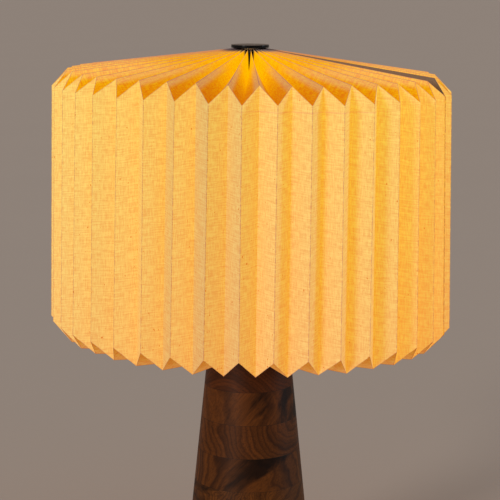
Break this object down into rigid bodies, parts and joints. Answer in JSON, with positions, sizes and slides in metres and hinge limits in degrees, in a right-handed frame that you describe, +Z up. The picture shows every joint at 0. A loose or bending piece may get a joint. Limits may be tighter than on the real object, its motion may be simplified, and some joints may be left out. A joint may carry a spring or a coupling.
{
  "type": "pleated paper table lamp",
  "caption": "Table lamp with a tapered laminated walnut base and a drum shade of one pleated sheet, reverse-folded into a closed roof and underside, clamped by a round disc finial.",
  "frame": {"origin": "middle of the foot, on the table", "axes": "+Z up along the lamp's axis; the front looks along -Y and the cord's hole is at the back, +Y"},
  "size_m": [0.2998, 0.2998, 0.4345],
  "materials": {
    "walnut": "oiled walnut, satin",
    "linen_paper": "linen-faced translucent paper, lit from within",
    "seam_card": "stiff card",
    "black_metal": "black lacquer",
    "brass": "brushed",
    "zinc": "zinc plated",
    "steel": "raw plate",
    "felt": "black felt",
    "rubber_bush": "matte",
    "black_plastic": "moulded",
    "porcelain": "glazed insert",
    "cap_metal": "rolled thread",
    "solder": "solder pip",
    "white_plastic": "bulb neck",
    "frosted_globe": "frosted, lit"
  },
  "bodies": {
    "base": {"felt_pad": "felt", "walnut_board_1": "walnut", "walnut_board_2": "walnut", "walnut_board_3": "walnut", "walnut_board_4": "walnut", "walnut_board_5": "walnut", "walnut_board_6": "walnut", "walnut_board_7": "walnut", "walnut_board_8": "walnut", "base_weight": "steel", "weight_screws": "zinc", "cord_bush": "rubber_bush", "lamp_tube": "zinc", "tube_nuts": "zinc", "tube_washer": "zinc", "harp_saddle": "brass", "harp_loop": "brass", "harp_block": "brass", "hub_plate": "black_metal", "hub_stud": "zinc", "holder_cap": "black_plastic", "holder_skirt": "black_plastic", "holder_insert": "porcelain", "screw_shell": "brass", "centre_contact": "brass"},
    "hub": {"hub_bush": "brass"},
    "shade": {"shade_roof": "linen_paper", "shade_wall": "linen_paper", "shade_underside": "linen_paper", "seam_strip": "seam_card", "upper_collar": "black_metal", "lower_collar": "black_metal"},
    "washer": {"finial_washer": "zinc"},
    "finial": {"finial_disc": "black_metal"},
    "bulb_pip": {"bulb_contact": "solder"},
    "bulb": {"bulb_cap": "cap_metal", "bulb_neck": "white_plastic", "bulb_globe": "frosted_globe"}
  },
  "joints": [
    {"name": "shade_lift", "type": "slide", "parent": "base", "child": "hub", "axis": [0, 0, 1], "range_m": [0, 0.24]},
    {"name": "shade_turn", "type": "hinge", "parent": "hub", "child": "shade", "pos_m": [0, 0, 0.43151], "axis": [0, 0, 1], "continuous": true},
    {"name": "finial_rise", "type": "slide", "parent": "hub", "child": "washer", "axis": [0, 0, 1], "range_m": [0, 0.013]},
    {"name": "finial_turn", "type": "hinge", "parent": "washer", "child": "finial", "pos_m": [0, 0, 0.43232], "axis": [0, 0, 1], "range_deg": [0, 4680]},
    {"name": "bulb_rise", "type": "slide", "parent": "base", "child": "bulb_pip", "axis": [0, 0, 1], "range_m": [0, 0.0145]},
    {"name": "bulb_turn", "type": "hinge", "parent": "bulb_pip", "child": "bulb", "pos_m": [0, 0, 0.29], "axis": [0, 0, 1], "range_deg": [0, 1440]}
  ],
  "couplings": [
    {"joint": "finial_rise", "follows": "finial_turn", "m_per_rad": 0.00015915},
    {"joint": "bulb_rise", "follows": "bulb_turn", "m_per_rad": 0.00057614}
  ]
}
